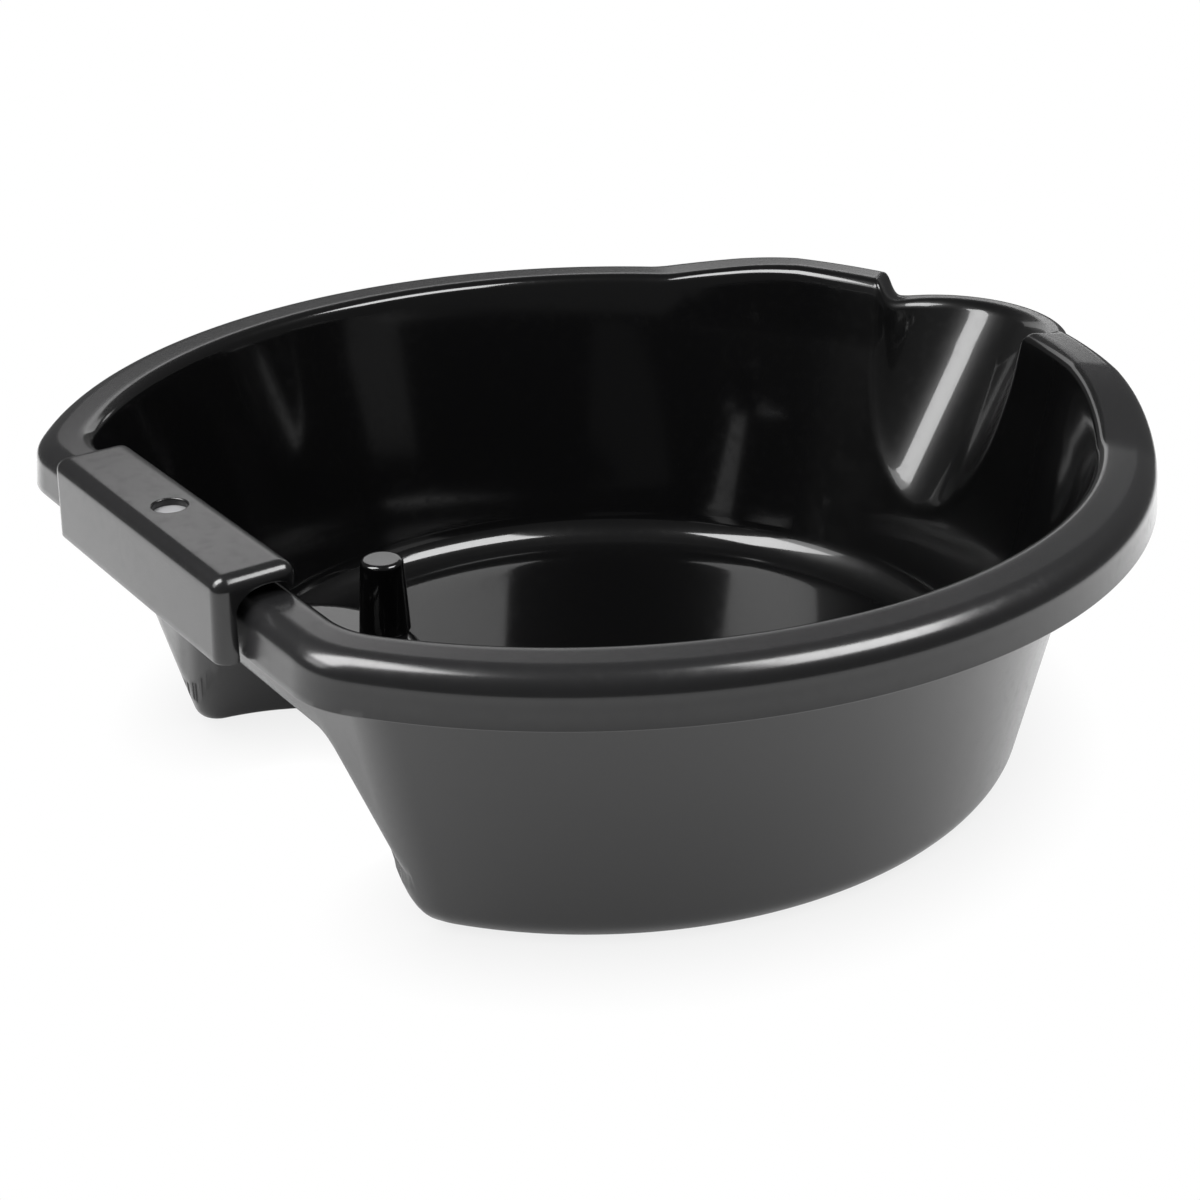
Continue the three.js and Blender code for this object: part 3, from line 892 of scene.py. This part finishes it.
def floor_material():
    """White to the camera with a soft contact shadow, glowing to the object, and clear from below."""
    material = bpy.data.materials.new("floor")
    material.use_nodes = True
    nodes, links = material.node_tree.nodes, material.node_tree.links
    nodes.clear()
    place = nodes.new("ShaderNodeNewGeometry")
    contact = openness(material, CONTACT_REACH, CONTACT_SAMPLES)
    white = ramp(material, contact, FLOOR_WHITE * CONTACT_DARK, FLOOR_WHITE)
    glow = nodes.new("ShaderNodeEmission")
    strength = seen_as(material, white, table_glow(material, place.outputs["Position"]))
    links.new(strength, glow.inputs["Strength"])
    clear = nodes.new("ShaderNodeBsdfTransparent")
    from_below = nodes.new("ShaderNodeMixShader")
    links.new(place.outputs["Backfacing"], from_below.inputs["Fac"])
    links.new(glow.outputs["Emission"], from_below.inputs[1])
    links.new(clear.outputs["BSDF"], from_below.inputs[2])
    out = nodes.new("ShaderNodeOutputMaterial")
    links.new(from_below.outputs["Shader"], out.inputs["Surface"])
    return material


def floor():
    """A plain pale floor: one large triangle just under the object."""
    mesh = bpy.data.meshes.new("floor")
    far = FLOOR_REACH
    mesh.from_pydata([(-far, -far, 0), (far, -far, 0), (0, far, 0)], [], [(0, 1, 2)])
    mesh.materials.append(floor_material())
    plane = bpy.data.objects.new("floor", mesh)
    plane.location.z = -FLOOR_GAP
    bpy.context.scene.collection.objects.link(plane)


def camera():
    data = bpy.data.cameras.new("camera")
    data.lens = CAMERA_LENS
    data.sensor_width = CAMERA_SENSOR
    data.clip_start, data.clip_end = CAMERA_CLIP
    view = bpy.data.objects.new("camera", data)
    view.location = CAMERA_PLACE
    view.rotation_euler = (math.pi / 2 - CAMERA_ELEVATION, 0, -CAMERA_AZIMUTH)
    bpy.context.scene.collection.objects.link(view)
    bpy.context.scene.camera = view


def world():
    """A dim studio all round that the camera sees as plain white."""
    sky = bpy.data.worlds.new("studio")
    bpy.context.scene.world = sky
    sky.use_nodes = True
    background = sky.node_tree.nodes["Background"]
    plug(sky, seen_as(sky, 1.0, STUDIO_GLOW), background.inputs["Strength"])
    background.inputs["Color"].default_value = (1, 1, 1, 1)


def panel(name, top, bottom, width, glow):
    """A soft rectangular light that faces the object and looks as bright as glow.

    It hangs between top and bottom, the middles of its upper and lower edge.
    """
    top, bottom = Vector(top), Vector(bottom)
    middle = (top + bottom) / 2
    along = (top - bottom).normalized()
    upright = abs(along.z) > 0.99
    across = along.cross(Vector((0, 1, 0)) if upright else Vector((0, 0, 1))).normalized()
    behind = across.cross(along)
    if behind.dot(middle - LIT_POINT) < 0:
        across, behind = -across, -behind
    data = bpy.data.lights.new(name, "AREA")
    data.shape = "RECTANGLE"
    data.size, data.size_y = width, (top - bottom).length
    data.energy = glow * math.pi * data.size * data.size_y
    lamp = bpy.data.objects.new(name, data)
    turn = Matrix((across, along, behind)).transposed()
    lamp.matrix_world = Matrix.Translation(middle) @ turn.to_4x4()
    lamp.visible_camera = False
    bpy.context.scene.collection.objects.link(lamp)


def backdrop(height, aside=0.0):
    """A place behind the object as the camera sees it, moved aside to the camera's right."""
    away = Vector((math.sin(CAMERA_AZIMUTH), math.cos(CAMERA_AZIMUTH), 0)) * BACK_DISTANCE
    right = Vector((math.cos(CAMERA_AZIMUTH), -math.sin(CAMERA_AZIMUTH), 0)) * aside
    return away + right + Vector((0, 0, height))


floor()
camera()
world()
panel("left_softbox", (-0.28, 0.0, 0.80), LEFT_BEND, width=0.32, glow=16)
panel("left_softbox_foot", LEFT_BEND, (-0.80, 0.208, 0.327), width=0.30, glow=5)
panel("right_softbox", (0.29, -0.19, 0.75), (0.29, -0.61, 0.75), width=0.42, glow=16)
panel("back_strip", backdrop(STRIP_TOP), backdrop(STRIP_FOOT), width=0.95, glow=1.5)
card_top, card_foot = backdrop(STRIP_FOOT, CARD_ASIDE), backdrop(CARD_FOOT, CARD_ASIDE)
panel("right_card", card_top, card_foot, width=0.22, glow=2.2)
bpy.context.scene.view_settings.view_transform = "Standard"
